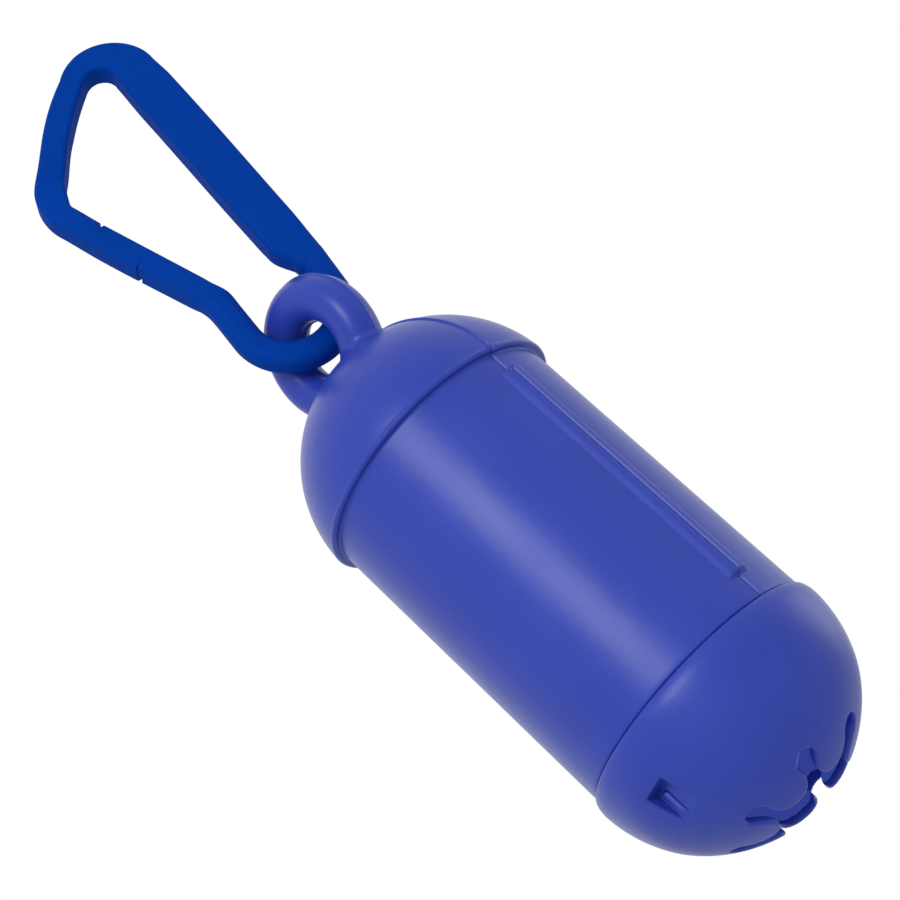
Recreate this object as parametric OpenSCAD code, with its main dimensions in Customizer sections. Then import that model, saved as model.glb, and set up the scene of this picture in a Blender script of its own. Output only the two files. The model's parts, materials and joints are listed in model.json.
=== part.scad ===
// Dispenser for rolls of dog waste bags: a domed capsule with a twist-off end cap, hanging by
// its moulded loop from a plastic snap hook.
// Millimetres, +Z up. The origin is under the hook's top bend, where a strap or ring carries it.
// The hook lies in the XZ plane, spine towards +X and gate towards -X. The capsule hangs below
// it, turned a little on the hook's lower bend.

/* [Capsule body] */
// Diameter of the straight tube
tube_d = 37.8; // [30:0.1:48]
// Length of the tube between the dome's step and the cap's edge
tube_len = 48.4; // [36:0.1:70]
// How far the dome stands out past the tube
dome_step = 1.1; // [0.4:0.1:2]
// How far the centre of the dome's sphere lies below its step
dome_sink = 0.8; // [0:0.1:3]
// Wall of the body and the cap
wall = 1.5; // [1:0.1:2]
// Small bevel on the dome's and the cap's outer edges
edge_bevel = 0.5; // [0.2:0.1:0.9]
// How far the capsule is turned about its own axis on the hook
capsule_turn = -62; // [-90:1:-30]

/* [Rib on the tube] */
// Width of the rib where it leaves the tube
rib_foot_w = 4.2; // [3:0.1:6]
// Width of the rib's flat top
rib_top_w = 2; // [1:0.1:2.8]
// How far the rib stands out of the tube
rib_rise = 1; // [0.4:0.1:1.4]
// Plain stretch of tube between the dome's step and the rib
rib_top_gap = 3.2; // [1:0.1:8]
// Plain stretch of tube between the rib and the cap's edge
rib_low_gap = 3.8; // [1:0.1:8]

/* [Hanging loop] */
// Thickness of the loop's round section
loop_rod_d = 6.2; // [4.5:0.1:7]
// Width of the hole through the loop
loop_hole_d = 8.2; // [7:0.1:10]
// Height of the hole's centre over the top of the dome
loop_rise = 5; // [4.5:0.1:6]

/* [End cap] */
// How far the cap stands out past the tube
cap_step = 0.8; // [0.3:0.1:2]
// Length of the cap's straight stretch, above its dome
cap_straight = 1.1; // [0.6:0.1:3]
// Running clearance between the neck and the cap
neck_gap = 0.3; // [0.2:0.05:0.5]
// How far the neck is set in from the tube's outside
neck_inset = 1.9; // [1.7:0.1:3]
// Length of the neck inside the cap
neck_len = 5.4; // [4.5:0.1:5.6]
// Height of the shoulder that joins the neck to the tube
shoulder_h = 1.6; // [1:0.1:4]

/* [Twist lock] */
// Width of a lug, and of the window beside it
lug_w = 4.3; // [3:0.1:6]
// Height of a lug along the axis
lug_h = 1.8; // [1:0.1:2]
// Depth of a lug's top below the cap's edge
lug_drop = 2.2; // [2:0.1:2.4]
// How far a lug reaches in past the neck's outside
lug_reach = 1; // [0.5:0.1:1.3]
// Clearance round a lug in its slot
lug_gap = 0.3; // [0.2:0.05:0.4]
// Turn between locked and free
twist = 35; // [20:1:50]
// Distance of a window's inner edge from the cap's outside
window_in = 3.2; // [2.5:0.1:4]
// Distance of a window's outer edge from the cap's outside
window_out = 0.7; // [0.4:0.1:1.2]

/* [Bag opening] */
// Number of lobes round the opening
lobes = 7; // [5:1:8]
// Turn of the opening against the windows
flower_turn = -6.8; // [-30:0.1:30]
// Distance of a lobe's centre from the axis
lobe_reach = 10.7; // [8:0.1:12]
// Radius of a lobe's round end
lobe_r = 1.5; // [1.2:0.1:2.4]
// Width of the neck that joins a lobe to the middle
lobe_neck = 2.1; // [1.5:0.1:3]
// Distance of the round finger tips' centres from the axis
finger_reach = 9.2; // [7:0.1:10]
// How far a finger's round tip passes its straight sides
finger_bulge = 0.1; // [0.05:0.05:0.3]

/* [Roll of bags] */
// Clearance between the roll and the neck that it passes
roll_clear = 0.6; // [0.4:0.1:2]
// Gap between the roll's lower rim and the cap that it rests on
seat_gap = 0.3; // [0.1:0.05:0.5]
// Free length above the roll
headroom = 6; // [2:0.5:20]
// Outside diameter of the core
core_d = 12.8; // [10:0.1:18]
// Wall of the core
core_wall = 1; // [0.6:0.1:2]
// Clearance between the core and the film wound on it
core_gap = 0.1; // [0.05:0.05:0.2]
// Width of the first bag's gathered end where it leaves the roll
lead_w = 12; // [6:0.5:16]
// Thickness of that end
lead_t = 0.8; // [0.4:0.1:1.5]
// Thickness of its bunched tip
tip_d = 3; // [2:0.1:4]
// Height of the tip over the opening's inner face
tip_rise = 3.3; // [3:0.1:6]

/* [Hook] */
// Thickness of the hook
hook_t = 4.3; // [3.5:0.1:4.8]
// Width of the spine
spine_w = 6.7; // [5.2:0.1:8]
// Width of the top bend
top_w = 4.5; // [4.3:0.1:6]
// Thickness of the neck between the spine and the lower bend
foot_d = 3.6; // [3:0.1:4.1]
// Height over the lower bend at which the spine's inner side starts to narrow
taper_top_z = 17.6; // [16:0.1:20]
// Height over the lower bend at which it has narrowed to the neck
taper_low_z = 11.6; // [11:0.1:13]
// Radius of the lower bend, to the middle of the rod
eye_r = 7.3; // [7:0.1:12]
// How far the lower bend's centre lies to the spine's side of the capsule's axis
eye_shift = 0.3; // [0:0.1:1]
// Radius of the top bend, to the middle of the rod
top_bend_r = 5.4; // [4:0.1:7]
// Radius of the bend at the gate-side corner
shoulder_bend_r = 7; // [4:0.1:9]
// Radius of the bend at the waist below the gate
waist_bend_r = 8; // [4:0.1:9]
// Top corner's distance from the lower bend's centre line
top_x = 13; // [10:0.1:18]
// Top corner's height over the lower bend
top_z = 70.3; // [60:0.1:85]
// Gate-side corner's distance from the lower bend's centre line
shoulder_x = 14; // [12:0.1:20]
// Gate-side corner's height over the lower bend
shoulder_z = 45.9; // [38:0.1:55]
// Distance of the waist below the gate from the lower bend's centre line
waist_x = 6.3; // [5.8:0.1:9]
// Height of that waist over the lower bend
waist_z = 16.1; // [14:0.1:19]
// Distance of the spine's foot from the lower bend's centre line
foot_x = 7.6; // [7:0.1:9]
// Height of the spine's foot over the lower bend
foot_z = 12.6; // [11.5:0.1:14]
// Height of the loop's hole over the lowest point of the bend: it rests on the bend's flanks
hang_gap = 1.3; // [1:0.1:1.8]

/* [Gate] */
// Distance of the gate's flexing point below the waist
pivot_drop = 4; // [3:0.1:4.5]
// Radius of the gate's round lower end
knuckle_r = 2.4; // [2.2:0.1:3]
// Height of the lap joint's lower end over the lower bend
lap_low_z = 27.8; // [22:0.1:30]
// Height of the lap joint's upper end over the lower bend
lap_high_z = 36.3; // [32:0.1:39]
// Gap all along the lap joint and the knuckle
gate_gap = 0.3; // [0.2:0.05:0.5]

/* [Hidden] */
$fn = 96;
// Overlap of shapes that are joined or cut
eps = 0.01;
// How much slimmer the hook's straights are than its bends
seat = 0.06;
// How far a straight runs into the bend at its end
bar_overlap = 0.3;
body_colour = [0.24, 0.31, 0.70];
hook_colour = [0.0, 0.24, 0.62];
film_colour = [0.10, 0.14, 0.30];
core_colour = [0.80, 0.78, 0.74];

// Directions in the hook's plane
function unit(v) = v / norm(v);
function square_to(v) = [-v[1], v[0]];
function angle_of(v) = atan2(v[1], v[0]);
function turn_between(a, b) = (b - a + 540) % 360 - 180;

// Round corner at b between the lines to a and c
function half_angle(a, b, c) = acos(unit(a - b) * unit(c - b)) / 2;
function corner_len(a, b, c, r) = r / tan(half_angle(a, b, c));
function corner_centre(a, b, c, r) =
    b + unit(unit(a - b) + unit(c - b)) * r / sin(half_angle(a, b, c));
function corner_start(a, b, c, r) = b + unit(a - b) * corner_len(a, b, c, r);
function corner_end(a, b, c, r) = b + unit(c - b) * corner_len(a, b, c, r);

// The hook's middle line: corners, and where its straights touch the lower bend.
// Its own zero is the lowest point of that bend.
eye_c = [0, eye_r];
top = [top_x, top_z];
shoulder = [-shoulder_x, shoulder_z];
waist = [-waist_x, waist_z];
foot = [foot_x, foot_z];
function touch_angle(p, side) = angle_of(p - eye_c) + side * acos(eye_r / norm(p - eye_c));
function on_eye(angle) = eye_c + eye_r * [cos(angle), sin(angle)];
gate_side_angle = touch_angle(waist, 1);
spine = unit(top - foot);
neck_start = foot - square_to(spine) * (spine_w - foot_d - seat) / 2;
spine_side_angle = touch_angle(neck_start, -1);
gate_touch = on_eye(gate_side_angle);
spine_touch = on_eye(spine_side_angle);

// The hook's highest inner point, which is the origin
top_c = corner_centre(foot, top, shoulder, top_bend_r);
hang = top_c + [0, top_bend_r - top_w / 2];

// Gate: flexing point, and the lap joint's ends on the middle line
pivot = waist + unit(gate_touch - waist) * pivot_drop;
arm = unit(shoulder - waist);
function on_arm(z) = waist + arm * (z - waist_z) / arm[1];
inward = -square_to(arm);

// The capsule's axis, and heights down it
axis_x = -hang[0] - eye_shift;
rod_z = -hang[1];
loop_major = (loop_hole_d + loop_rod_d) / 2;
loop_z = rod_z - (loop_hole_d / 2 - hook_t / 2 - hang_gap);
tube_r = tube_d / 2;
dome_r = tube_r + dome_step;
cap_r = tube_r + cap_step;
dome_top_z = loop_z - loop_rise;
dome_c_z = dome_top_z - dome_r;
step_z = dome_c_z + dome_sink;
edge_z = step_z - tube_len;
cap_c_z = edge_z - cap_straight;
neck_r = tube_r - neck_inset;
neck_in_r = neck_r - wall;
skirt_r = neck_r + neck_gap;
cap_in_r = cap_r - wall;

// Roll: its rim rests on the cap's round inside
roll_r = neck_in_r - roll_clear;
roll_low_z = cap_c_z - sqrt(pow(cap_in_r - seat_gap, 2) - pow(roll_r, 2));
roll_top_z = dome_c_z + sqrt(pow(dome_r - wall, 2) - pow(roll_r, 2)) - headroom;
roll_len = roll_top_z - roll_low_z;
opening_z = cap_c_z - cap_in_r;
lug_half_angle = asin(lug_w / 2 / neck_r);
slot_half_angle = asin((lug_w / 2 + lug_gap) / neck_r);
finger_tip_r = finger_reach * sin(180 / lobes) - lobe_neck / 2 + finger_bulge;

echo(capsule_axis_x = axis_x, rod_z = rod_z, loop_z = loop_z, dome_top_z = dome_top_z);
echo(step_z = step_z, edge_z = edge_z, cap_c_z = cap_c_z, bottom_z = cap_c_z - cap_r);
echo(pivot = pivot - hang, roll_r = roll_r, roll_len = roll_len, roll_low_z = roll_low_z);
echo(lap_low = on_arm(lap_low_z) - hang, lap_high = on_arm(lap_high_z) - hang);
echo(waist = waist - hang, foot = foot - hang, shoulder = shoulder - hang, top = top - hang);

// Puts a piece on the capsule's axis, turned as the capsule hangs
module on_capsule() {
    translate([axis_x, 0, 0])
        rotate([0, 0, capsule_turn])
            children();
}

// Stands a piece drawn in the XY plane up in the hook's plane
module on_hook() {
    translate([-hang[0], 0, -hang[1]])
        rotate([90, 0, 0])
            children();
}

// A ring or disc spun about the axis, between two radii and two heights
module ring(inner, outer, low, high) {
    rotate_extrude()
        translate([inner, low])
            square([outer - inner, high - low]);
}

// A stretch of such a ring, centred on an angle
module ring_sector(inner, outer, low, high, middle, half_angle) {
    rotate([0, 0, middle - half_angle])
        rotate_extrude(angle = 2 * half_angle)
            translate([inner, low])
                square([outer - inner, high - low]);
}

// Half profile of a spherical end: what lies on one side of a height
module dome_profile(radius, centre_z, low, high) {
    intersection() {
        translate([0, centre_z])
            circle(r = radius);
        translate([0, low])
            square([2 * radius, high - low]);
    }
}

// Takes the corner off a profile's outer edge
module bevel(radius, z, size) {
    translate([radius, z])
        rotate(45)
            square(size * sqrt(2), center = true);
}

// The rib seen along the axis: sloped sides that start inside the wall, and a flat top
module rib_section() {
    sunk_half = rib_foot_w - rib_top_w / 2;
    polygon([[tube_r - rib_rise, -sunk_half], [tube_r + rib_rise, -rib_top_w / 2],
             [tube_r + rib_rise, rib_top_w / 2], [tube_r - rib_rise, sunk_half]]);
}

module body_outside() {
    rotate_extrude() {
        difference() {
            dome_profile(dome_r, dome_c_z, step_z, dome_top_z);
            bevel(sqrt(pow(dome_r, 2) - pow(dome_sink, 2)), step_z, edge_bevel);
        }
        translate([0, edge_z])
            square([tube_r, step_z + edge_bevel - edge_z]);
        translate([0, edge_z - neck_len])
            square([neck_r, neck_len + eps]);
    }
    for (side = [0, 180])
        rotate([0, 0, side])
            translate([0, 0, edge_z + rib_low_gap])
                linear_extrude(tube_len - rib_low_gap - rib_top_gap)
                    rib_section();
    translate([0, 0, loop_z])
        rotate([90, 0, 0])
            rotate_extrude()
                translate([loop_major, 0])
                    circle(d = loop_rod_d, $fn = 48);
}

module body_inside() {
    shoulder_top = edge_z + shoulder_h;
    rotate_extrude() {
        dome_profile(dome_r - wall, dome_c_z, step_z - eps, dome_top_z);
        translate([0, shoulder_top])
            square([tube_r - wall, step_z - shoulder_top]);
        translate([0, edge_z - neck_len - 1])
            square([neck_in_r, neck_len + shoulder_h + 1 + eps]);
    }
}

// L-shaped slots in the neck: along for the twist, then down to its open end
module lug_slots() {
    low = edge_z - lug_drop - lug_h - lug_gap;
    high = edge_z - lug_drop + lug_gap;
    for (side = [-90, 90]) {
        ring_sector(neck_in_r - 1, neck_r + 1, low, high, side - twist / 2,
                    twist / 2 + slot_half_angle);
        ring_sector(neck_in_r - 1, neck_r + 1, edge_z - neck_len - 1, high, side - twist,
                    slot_half_angle);
    }
}

module capsule_body() {
    color(body_colour)
        on_capsule()
            difference() {
                body_outside();
                body_inside();
                lug_slots();
            }
}

module cap_shell() {
    rotate_extrude()
        difference() {
            union() {
                dome_profile(cap_r, cap_c_z, cap_c_z - cap_r, edge_z);
                translate([0, cap_c_z])
                    square([cap_r, cap_straight]);
            }
            bevel(cap_r, edge_z, edge_bevel);
            intersection() {
                union() {
                    translate([0, cap_c_z])
                        circle(r = cap_in_r);
                    translate([0, cap_c_z])
                        square([cap_r, cap_straight + 1]);
                }
                translate([0, cap_c_z - cap_r])
                    square([skirt_r, cap_r + cap_straight + 1]);
            }
        }
}

// The flower that bags are drawn through: round lobes between round-tipped fingers
module flower() {
    difference() {
        union() {
            circle(r = finger_reach);
            for (i = [0:lobes - 1])
                rotate((i + 0.5) * 360 / lobes) {
                    translate([0, -lobe_neck / 2])
                        square([lobe_reach, lobe_neck]);
                    translate([lobe_reach, 0])
                        circle(r = lobe_r, $fn = 48);
                }
        }
        for (i = [0:lobes - 1])
            rotate(i * 360 / lobes)
                translate([finger_reach, 0])
                    circle(r = finger_tip_r, $fn = 48);
    }
}

module end_cap() {
    window_low = cap_c_z - cap_r;
    lug_top = edge_z - lug_drop;
    color(body_colour)
        on_capsule() {
            difference() {
                cap_shell();
                translate([0, 0, window_low - 1])
                    rotate([0, 0, flower_turn])
                        linear_extrude(cap_r / 2)
                            flower();
                for (side = [-90, 90])
                    rotate([0, 0, side])
                        translate([cap_r - window_in, -lug_w / 2, window_low])
                            cube([window_in - window_out, lug_w, lug_top - lug_h - window_low]);
            }
            for (side = [-90, 90])
                ring_sector(neck_r - lug_reach, skirt_r + 0.2, lug_top - lug_h, lug_top,
                            side, lug_half_angle);
        }
}

module bag_roll() {
    color(film_colour)
        on_capsule()
            ring(core_d / 2 + core_gap, roll_r, roll_low_z, roll_top_z);
}

module roll_core() {
    color(core_colour)
        on_capsule()
            ring(core_d / 2 - core_wall, core_d / 2, roll_low_z, roll_top_z);
}

// The first bag's loose end: flat where it leaves the roll, bunched over the opening
module lead_bag() {
    color(film_colour)
        on_capsule()
            hull() {
                translate([core_d / 2, -lead_w / 2, roll_low_z - core_gap - lead_t])
                    cube([roll_r * 0.8 - core_d / 2, lead_w, lead_t]);
                translate([0, 0, opening_z + tip_rise])
                    cylinder(d = tip_d, h = lead_t, $fn = 32);
            }
}

// The hook's section: a round rod, or a wider one with round edges
module section(width, thick) {
    if (width > thick) {
        for (side = [-1, 1])
            translate([side * (width - thick) / 2, 0])
                circle(d = thick, $fn = 48);
        square([width - thick, thick - seat], center = true);
    } else {
        circle(d = width, $fn = 48);
    }
}

// A straight, a hair slimmer than the bends, whose ends sit inside them
module bar(a, b, width) {
    along = unit(b - a);
    start = a - along * bar_overlap;
    translate([start[0], start[1], 0])
        rotate([0, 0, angle_of(along)])
            rotate([0, 90, 0])
                linear_extrude(norm(b - a) + 2 * bar_overlap)
                    rotate(90)
                        section(width - seat, min(width, hook_t) - seat);
}

module arc(centre, radius, from, sweep, width) {
    translate([centre[0], centre[1], 0])
        rotate([0, 0, from])
            rotate_extrude(angle = sweep)
                translate([radius, 0])
                    section(width, hook_t);
}

module corner(a, b, c, radius, width) {
    centre = corner_centre(a, b, c, radius);
    from = angle_of(corner_start(a, b, c, radius) - centre);
    to = angle_of(corner_end(a, b, c, radius) - centre);
    sweep = turn_between(from, to);
    arc(centre, radius, sweep > 0 ? from : to, abs(sweep), width);
}

// What the spine's foot loses on its inner side, where it narrows to its neck
module taper_cut() {
    inner_top = foot + spine * (taper_top_z - foot_z) / spine[1] + square_to(spine) * spine_w / 2;
    inner_low = neck_start + spine * (taper_low_z - foot_z) / spine[1]
        + square_to(spine) * foot_d / 2;
    linear_extrude(2 * hook_t, center = true)
        polygon([inner_top, inner_low, inner_low - [spine_w, 0], inner_top - [spine_w, 0]]);
}

// The whole hook as one closed rod, gate included
module hoop() {
    corner(foot, top, shoulder, top_bend_r, top_w);
    corner(top, shoulder, waist, shoulder_bend_r, hook_t);
    corner(shoulder, waist, gate_touch, waist_bend_r, hook_t);
    difference() {
        bar(foot, corner_start(foot, top, shoulder, top_bend_r), spine_w);
        taper_cut();
    }
    bar(corner_end(foot, top, shoulder, top_bend_r),
        corner_start(top, shoulder, waist, shoulder_bend_r), hook_t);
    bar(corner_end(top, shoulder, waist, shoulder_bend_r),
        corner_start(shoulder, waist, gate_touch, waist_bend_r), hook_t);
    bar(corner_end(shoulder, waist, gate_touch, waist_bend_r), gate_touch, hook_t);
    bar(neck_start, spine_touch, foot_d);
    arc(eye_c, eye_r, gate_side_angle, spine_side_angle + 360 - gate_side_angle, hook_t);
}

// The stretch of the hook that is the gate, grown by a gap where the frame meets it
module gate_zone(gap) {
    low = on_arm(lap_low_z) + arm * gap;
    high = on_arm(lap_high_z) + arm * gap;
    reach = hook_t;
    across = -square_to(unit(waist - pivot));
    root = pivot + unit(waist - pivot) * knuckle_r / 5;
    linear_extrude(2 * hook_t, center = true)
        polygon([root - across * reach, waist - inward * reach, low - inward * reach,
                 low - inward * gap, high - inward * gap, high + inward * reach,
                 waist + inward * reach, root + across * reach]);
    translate([pivot[0], pivot[1], 0])
        cylinder(r = knuckle_r + gap, h = 2 * hook_t, center = true);
}

module carabiner_frame() {
    color(hook_colour)
        on_hook()
            difference() {
                hoop();
                gate_zone(gate_gap);
            }
}

module carabiner_gate() {
    color(hook_colour)
        on_hook()
            intersection() {
                hoop();
                gate_zone(0);
            }
}

capsule_body();
end_cap();
bag_roll();
roll_core();
lead_bag();
carabiner_frame();
carabiner_gate();
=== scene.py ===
"""A dog bag dispenser: a capsule with a twist-off cap, hanging from a snap hook.

Lengths are millimetres in the part's frame unless a name ends in _m or _M.
"""

import json
import math

import bpy
import numpy as np
from mathutils import Matrix, Vector


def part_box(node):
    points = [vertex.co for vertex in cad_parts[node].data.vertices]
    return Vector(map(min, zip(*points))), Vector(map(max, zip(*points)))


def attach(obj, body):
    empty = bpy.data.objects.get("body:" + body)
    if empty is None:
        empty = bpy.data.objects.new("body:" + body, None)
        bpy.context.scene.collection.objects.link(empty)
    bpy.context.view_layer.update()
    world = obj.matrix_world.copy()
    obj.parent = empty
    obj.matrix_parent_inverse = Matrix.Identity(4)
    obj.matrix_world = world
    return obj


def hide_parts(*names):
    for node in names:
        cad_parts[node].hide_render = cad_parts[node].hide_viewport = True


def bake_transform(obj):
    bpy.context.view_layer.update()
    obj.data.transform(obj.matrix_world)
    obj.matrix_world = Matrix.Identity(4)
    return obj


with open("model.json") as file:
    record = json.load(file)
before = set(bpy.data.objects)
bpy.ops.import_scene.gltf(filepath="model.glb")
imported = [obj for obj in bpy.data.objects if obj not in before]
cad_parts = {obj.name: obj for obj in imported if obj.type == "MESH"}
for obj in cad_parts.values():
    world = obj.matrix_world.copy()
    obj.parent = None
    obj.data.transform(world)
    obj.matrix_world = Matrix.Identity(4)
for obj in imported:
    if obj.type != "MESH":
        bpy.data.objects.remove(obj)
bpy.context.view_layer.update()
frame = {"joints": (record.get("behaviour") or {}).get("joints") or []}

MM = 0.001
TAU = 2 * math.pi

# The way the photograph looks at the object
VIEW = np.array([0.33252, 0.86736, 0.37029])

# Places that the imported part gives
joints = {joint["name"]: joint for joint in frame["joints"]}


def joint_at(name):
    return np.array(joints[name]["pos_m"]) / MM


def node_box(name):
    low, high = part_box(name)
    return np.array(low) / MM, np.array(high) / MM


AXIS_X, _, EDGE_Z = joint_at("cap_twist")
LOOP_Z = joint_at("capsule_swing")[2]
ACROSS = np.array(joints["capsule_swing"]["axis"])
ALONG_LOOP = np.array([ACROSS[1], -ACROSS[0], 0])

# Capsule body: tube, dome and the shoulder where the cap's edge sits
WALL = 1.5
TUBE_R = 18.9
TUBE_LEN = 48.4
STEP_Z = EDGE_Z + TUBE_LEN
DOME_R = 20.0
DOME_SINK = 0.8
DOME_C_Z = STEP_Z - DOME_SINK
SHOULDER_H = 1.6

# Neck inside the cap
NECK_R = 17.0
NECK_IN_R = NECK_R - WALL
NECK_LEN = 5.4
NECK_ROOT = 0.6
NECK_EDGE = 0.25

# Rib on each parting line
RIB_FOOT = 2.1
RIB_TOP = 1.0
RIB_RISE = 0.92
RIB_TOP_Z = STEP_Z - 3.2
RIB_LOW_Z = EDGE_Z + 3.8
RIB_END_SLOPE = 1.8
RIB_CORNER = 0.25
RIB_SOFT = 0.2

# Parting line: a raised line and a groove beside it, with one mould half a little prouder
SEAM_HALF = 0.15
SEAM_RISE = 0.16
SEAM_RISE_AT = 0.9
SEAM_SINK = 0.15
SEAM_SINK_AT = -1.2
SEAM_STEP = 0.05
SEAM_STEP_RUN = 0.12
SEAM_FADE_AT = 2.4
SEAM_FADE_RUN = 2.0
SEAM_FROM_R = 6.0

# Loop on the dome; its rod swells a little towards the ring's outer side
LOOP_R = 7.2
LOOP_ROD_R = 3.1
LOOP_SWELL = 0.38
LOOP_SWELL_FROM = 0.2
LOOP_LIFT = 0.15
LOOP_FILLET = 1.3
LOOP_FILLET_MOST = 2.2
LOOP_PUSHES = 24
LOOP_FOOT_SINK = 0.06

# Cap: a ball with a short straight skirt, its edge drawn in and its low end a little flatter
CAP_R = 19.7
CAP_IN_R = CAP_R - WALL
CAP_STRAIGHT = 1.1
CAP_EDGE_GAP = 0.05
CAP_EDGE = 0.2
CAP_LIP_R = 19.02
CAP_SWELL = 2.3
CAP_FLAT = 0.28
CAP_FLAT_FROM = 11
CAP_FLAT_RUN = 8
SKIRT_R = 17.3

# Flower opening
LOBES = 7
FLOWER_TURN = math.radians(-6.8)
FLOWER_FROM = 10
FLOWER_LIP = 0.45
LOBE_REACH = 10.35
LOBE_R = 1.5
LOBE_NECK = 1.05
LOBE_FILLET = 0.7
FINGER_REACH = 9.2
FINGER_TIP_R = 3.04
FINGER_EDGE = 0.25

# Window pocket beside each lug, with a small bead standing in it
WINDOW_IN_R = 16.5
WINDOW_TOP = 6.7
WINDOW_FLOOR = 1.0
WINDOW_WALL = 0.8
WINDOW_EDGE = 0.25
BEAD_X = -1.0
BEAD_R = 0.6
BEAD_DROP = 0.9
BEAD_DEPTH = 0.1

# Bayonet lugs and the slots they turn in
LUG_HALF = 2.15
LUG_DROP = 2.2
LUG_H = 1.8
LUG_IN_R = 16.0
LUG_ROOT = 0.2
LUG_GAP = 0.3
TWIST = math.radians(35)

# Hook: widths of its bar and roundness of its section
ROD = 4.3
TOP_W = 4.5
FOOT_W = 4.2
FOOT_ASIDE = 0.88
SPINE_IN = 3.64
SPINE_OUT = 3.44
SECTION_ROUND = 0.75
EYE_ROUND = 1.7
EYE_ROUND_FROM_Z = -40

# Hook: corners and bends of its middle line, measured from the lowest point of that line
EYE_R = 7.3
TOP_BEND_R = 5.4
SHOULDER_BEND_R = 7.0
WAIST_BEND_R = 11.0
TOP = np.array([13.0, 70.3])
SHOULDER = np.array([-14.0, 45.9])
WAIST = np.array([-6.3, 16.1])
FOOT = np.array([7.6, 12.6])
TAPER_Z = (9.8, 16.6)

# Hook: lap joint of the gate and the notches where it comes out
LAP_Z = (27.8, 36.3)
LAP_GAP = 0.04
LAP_ROUND = 1.4
NOTCH_HALF = 0.8
NOTCH_DEPTH = 3.4
NOTCH_SIDE = 1.8
NOTCH_IN_REACH = 1.45
NOTCH_OUT_REACH = -2.15

# A distance well clear of any surface
FAR = 9.0

# Cell sizes of the meshes that are made from distances
NECK_CELL = 0.34
CAP_CELL = 0.27
HOOK_CELL = 0.23


# Distances and shapes

def smooth(t):
    t = np.clip(t, 0, 1)
    return t * t * (3 - 2 * t)


def soft_min(a, b, k):
    near = np.maximum(k - np.abs(a - b), 0) / k
    return np.minimum(a, b) - near * near * k / 4


def joined(a, b, k):
    """Distance to two solids as one, with a concave fillet of radius k between them."""
    return np.maximum(k, np.minimum(a, b)) - np.hypot(np.maximum(k - a, 0), np.maximum(k - b, 0))


def common(a, b, k):
    """Distance to what two solids share, with edges rounded to radius k."""
    return np.minimum(-k, np.maximum(a, b)) + np.hypot(np.maximum(k + a, 0), np.maximum(k + b, 0))


def overlap(*distances):
    """Distance to what several solids share, with sharp edges."""
    return np.maximum.reduce(distances)


def on_capsule(points):
    """From the capsule's own directions and the part's heights to the part's frame."""
    x, y, z = np.moveaxis(points, -1, 0)
    place = x[..., None] * ALONG_LOOP + y[..., None] * ACROSS
    return place + np.stack([np.full_like(z, AXIS_X), np.zeros_like(z), z], -1)


def mesh_piece(name, points, faces, material, normals=None):
    mesh = bpy.data.meshes.new(name)
    mesh.from_pydata((points * MM).tolist(), [], [list(f) for f in faces])
    mesh.polygons.foreach_set("use_smooth", np.ones(len(mesh.polygons), bool))
    mesh.update()
    if normals is not None:
        mesh.normals_split_custom_set_from_vertices(normals.tolist())
    mesh.materials.append(material)
    obj = bpy.data.objects.new(name, mesh)
    bpy.context.scene.collection.objects.link(obj)
    return obj


def gradient(distance, points, step):
    sides = []
    for axis in np.eye(3) * step:
        sides.append((distance(points + axis) - distance(points - axis)) / (2 * step))
    return np.stack(sides, -1)


def unit_rows(vectors):
    return vectors / np.maximum(np.linalg.norm(vectors, axis=-1, keepdims=True), 1e-6)


def settle(distance, points, cell, times):
    """Moves points onto the surface where the distance is zero."""
    for _ in range(times):
        slope = gradient(distance, points, cell / 8)
        pull = distance(points) / np.maximum((slope ** 2).sum(-1), 0.2)
        points = points - slope * np.clip(pull, -cell, cell)[:, None]
    return points


def relax(points, quads):
    """Moves each point half way to the middle of its neighbours."""
    ends = np.concatenate([quads[:, [i, (i + 1) % 4]] for i in range(4)])
    count = np.bincount(ends[:, 0], minlength=len(points))
    count = count + np.bincount(ends[:, 1], minlength=len(points))
    total = np.zeros_like(points)
    for axis in range(3):
        total[:, axis] = np.bincount(ends[:, 0], points[ends[:, 1], axis], len(points))
        total[:, axis] += np.bincount(ends[:, 1], points[ends[:, 0], axis], len(points))
    return (points + total / count[:, None]) / 2


def skin(distance, low, high, cell):
    """Points, faces and normals of the surface where a solid's distance is zero.

    Each grid cell that the surface passes through gets one point, and each grid edge that it
    crosses gets one four-sided face.
    """
    axes = [np.arange(a, b + cell, cell) for a, b in zip(low, high)]
    grid = np.stack(np.meshgrid(*axes, indexing="ij"), -1)
    solid = np.stack([distance(layer) < 0 for layer in grid])
    cells = tuple(n - 1 for n in solid.shape)
    filled = np.zeros(cells, int)
    for i in (0, 1):
        for j in (0, 1):
            for k in (0, 1):
                filled += solid[i:cells[0] + i, j:cells[1] + j, k:cells[2] + k]
    mixed = (filled > 0) & (filled < 8)
    number = np.full(cells, -1)
    number[mixed] = np.arange(mixed.sum())
    points = np.array(low) + (np.argwhere(mixed) + 0.5) * cell
    quads = []
    for axis in range(3):
        order = (axis, (axis + 1) % 3, (axis + 2) % 3)
        s = solid.transpose(order)
        n = number.transpose(order)
        near, far = s[:-1, 1:-1, 1:-1], s[1:, 1:-1, 1:-1]
        quad = np.stack([n[:, :-1, :-1], n[:, 1:, :-1], n[:, 1:, 1:], n[:, :-1, 1:]], -1)
        quads += [quad[near & ~far], quad[far & ~near][:, ::-1]]
    quads = np.concatenate(quads)
    for _ in range(2):
        points = relax(settle(distance, points, cell, 2), quads)
    points = settle(distance, points, cell, 3)
    return points, quads, unit_rows(gradient(distance, points, cell / 4))


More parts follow.
